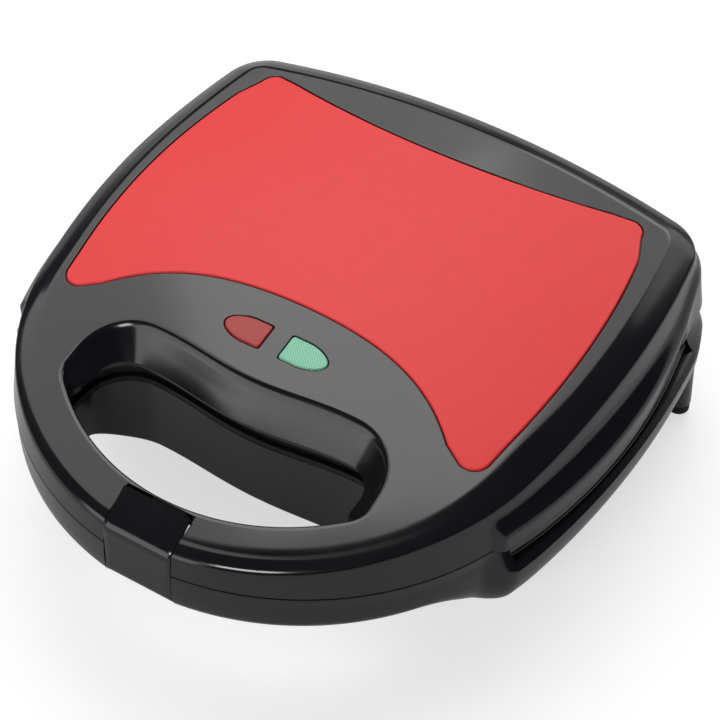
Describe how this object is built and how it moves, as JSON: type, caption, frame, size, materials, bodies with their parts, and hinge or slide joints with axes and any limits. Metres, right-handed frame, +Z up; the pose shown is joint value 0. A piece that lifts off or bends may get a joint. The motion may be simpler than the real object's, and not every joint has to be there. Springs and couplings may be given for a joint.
{
  "type": "sandwich toaster",
  "caption": "Closed sandwich toaster with a domed lid, inset top panel, lamp windows, loop handle, front clip and rear hinges over ribbed cooking plates",
  "frame": {"origin": "centre of the bounding box's bottom, on the surface the feet stand on", "axes": "+Z up, handle and clip towards -Y, hinges towards +Y, +X to the right seen from the handle"},
  "size_m": [0.2532, 0.2541, 0.0981],
  "materials": {
    "black_gloss": "glossy moulded",
    "black_matte": "satin heat resistant moulding",
    "red_panel": "satin",
    "red_lens": "translucent moulded",
    "green_lens": "translucent moulded",
    "lamp_glass": "clear",
    "coated_plate": "non-stick coated casting",
    "bare_aluminium": "sheet",
    "heater_steel": "dull sheath",
    "zinc_steel": "zinc plated",
    "cream_insulator": "moulded",
    "foot_rubber": "matte"
  },
  "bodies": {
    "base": {"base_shell": "black_gloss", "base_liner": "black_matte", "base_screws": "zinc_steel", "lower_plate": "coated_plate", "lower_plate_screws": "zinc_steel", "lower_element": "heater_steel", "lower_element_clamps": "bare_aluminium", "lower_reflector": "bare_aluminium", "thermostat": "cream_insulator", "thermal_fuse": "bare_aluminium", "terminal_block": "cream_insulator", "base_hinge_ears": "zinc_steel", "hinge_pins": "zinc_steel", "catch_plate": "zinc_steel", "cord_gland": "foot_rubber", "rear_feet": "foot_rubber", "front_feet": "foot_rubber", "foot_screws": "zinc_steel"},
    "lid": {"lid_shell": "black_gloss", "lid_panel": "red_panel", "lens_red": "red_lens", "lens_green": "green_lens", "lamp_holder": "black_matte", "neon_lamps": "lamp_glass", "lid_liner": "black_matte", "lid_screws": "zinc_steel", "upper_plate": "coated_plate", "upper_plate_screws": "zinc_steel", "upper_element": "heater_steel", "upper_element_clamps": "bare_aluminium", "upper_reflector": "bare_aluminium", "lid_hinge_knuckles": "zinc_steel", "latch_bracket": "zinc_steel", "latch_pin": "zinc_steel"},
    "latch": {"latch_clip": "black_gloss"}
  },
  "joints": [
    {"name": "lid_hinge", "type": "hinge", "parent": "base", "child": "lid", "pos_m": [0, 0.1229, 0.0585], "axis": [-1, 0, 0], "range_deg": [0, 100]},
    {"name": "clip_hinge", "type": "hinge", "parent": "lid", "child": "latch", "pos_m": [0, -0.115, 0.0693], "axis": [-1, 0, 0], "range_deg": [0, 22]}
  ]
}
